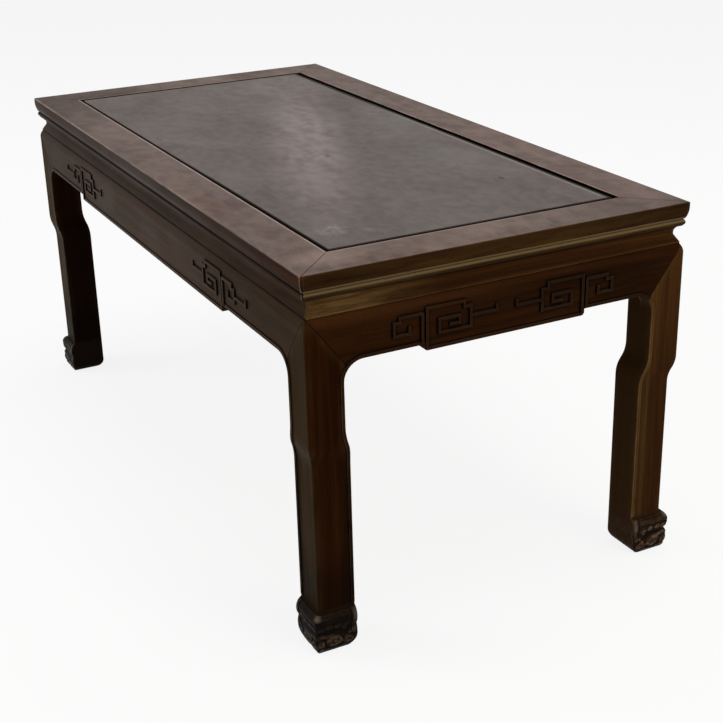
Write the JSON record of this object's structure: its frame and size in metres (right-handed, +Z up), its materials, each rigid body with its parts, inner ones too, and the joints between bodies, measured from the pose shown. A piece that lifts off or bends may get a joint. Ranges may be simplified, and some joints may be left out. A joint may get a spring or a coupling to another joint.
{
  "type": "kang table",
  "caption": "Low waisted hardwood table with a mitred frame and floating panel top, carved fret aprons, and stepped legs on carved block feet.",
  "frame": {"origin": "on the floor under the middle of the top", "axes": "+X along the length of the top, +Y across it, +Z up; the picture shows the -Y long side and the +X short side"},
  "size_m": [0.92, 0.46, 0.422],
  "materials": {
    "top_frame": "dark stained hardwood, satin polish, rubbed lighter on the arrises",
    "top_panel": "dark stained hardwood board, satin polish, cloudy with wear",
    "battens": "plain hardwood under the top, thin old stain",
    "pins": "split and turned hardwood pegs",
    "waist": "dark stained hardwood, satin polish",
    "aprons": "dark stained hardwood, carved and polished",
    "legs": "dark stained hardwood, satin polish, rubbed on the arrises"
  },
  "bodies": {
    "root": {"top_rail_front": "top_frame", "top_rail_back": "top_frame", "top_rail_right": "top_frame", "top_rail_left": "top_frame", "top_panel": "top_panel", "batten_left": "battens", "batten_middle": "battens", "batten_right": "battens", "mitre_pins": "pins", "waist_front": "waist", "waist_back": "waist", "waist_right": "waist", "waist_left": "waist", "apron_front": "aprons", "apron_back": "aprons", "apron_right": "aprons", "apron_left": "aprons", "leg_front_left": "legs", "leg_front_right": "legs", "leg_back_left": "legs", "leg_back_right": "legs"}
  },
  "joints": []
}
